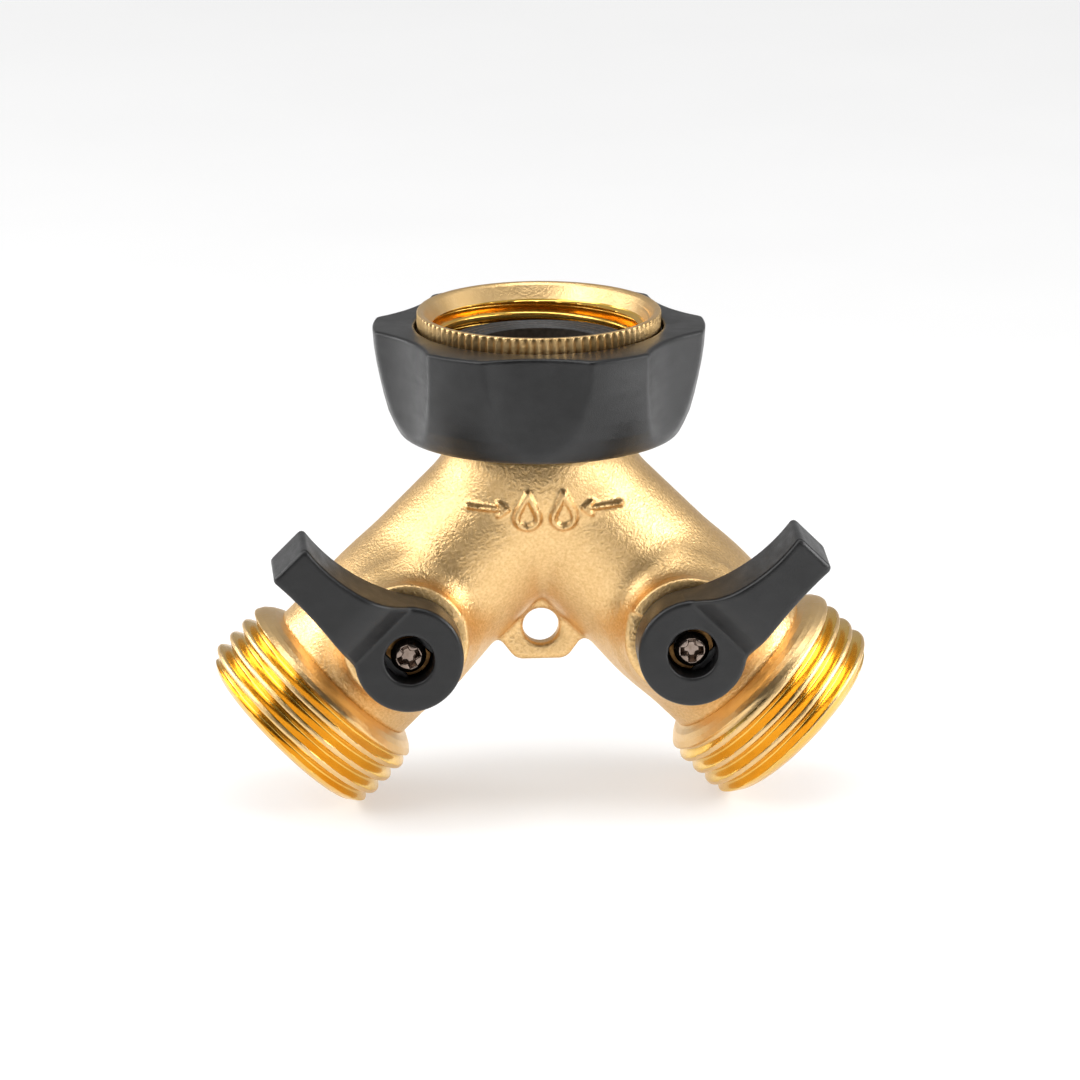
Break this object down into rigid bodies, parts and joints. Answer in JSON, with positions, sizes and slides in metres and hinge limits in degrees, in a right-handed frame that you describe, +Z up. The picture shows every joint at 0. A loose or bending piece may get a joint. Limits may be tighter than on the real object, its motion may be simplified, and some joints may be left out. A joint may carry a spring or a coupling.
{
  "type": "garden hose splitter",
  "caption": "Brass Y hose splitter with a swivelling threaded inlet, black grip collar, threaded outlets and a lever ball valve in each leg.",
  "frame": {"origin": "centre of the inlet mouth, on the swivel nut's top rim", "axes": "+Z up along the inlet axis, out of the inlet; +X to the right-hand outlet; -Y towards the front, where the levers are"},
  "size_m": [0.0808, 0.0442, 0.0615],
  "materials": {
    "brass": "sandblasted forging, machined bright on the threads",
    "steel": "bright stainless",
    "black_plastic": "fine moulded texture",
    "rubber": "matte",
    "white_seal": "PTFE, satin"
  },
  "bodies": {
    "body": {"valve_body": "brass", "retaining_ring": "steel", "left_inner_seat": "white_seal", "left_outer_seat": "white_seal", "left_seat_retainer": "brass", "left_lower_o_ring": "rubber", "left_upper_o_ring": "rubber", "left_thrust_washer": "white_seal", "right_inner_seat": "white_seal", "right_outer_seat": "white_seal", "right_seat_retainer": "brass", "right_lower_o_ring": "rubber", "right_upper_o_ring": "rubber", "right_thrust_washer": "white_seal"},
    "swivel": {"swivel_nut": "brass", "grip_collar": "black_plastic", "inlet_washer": "rubber"},
    "left_valve": {"left_stem": "brass", "left_ball": "steel", "left_lever": "black_plastic", "left_lever_screw": "steel"},
    "right_valve": {"right_stem": "brass", "right_ball": "steel", "right_lever": "black_plastic", "right_lever_screw": "steel"}
  },
  "joints": [
    {"name": "inlet_swivel", "type": "hinge", "parent": "body", "child": "swivel", "pos_m": [0, 0, 0], "axis": [0, 0, 1], "continuous": true},
    {"name": "left_lever_turn", "type": "hinge", "parent": "body", "child": "left_valve", "pos_m": [-0.0174, 0, -0.0385], "axis": [0, 1, 0], "range_deg": [0, 90]},
    {"name": "right_lever_turn", "type": "hinge", "parent": "body", "child": "right_valve", "pos_m": [0.0174, 0, -0.0385], "axis": [0, -1, 0], "range_deg": [0, 90]}
  ]
}
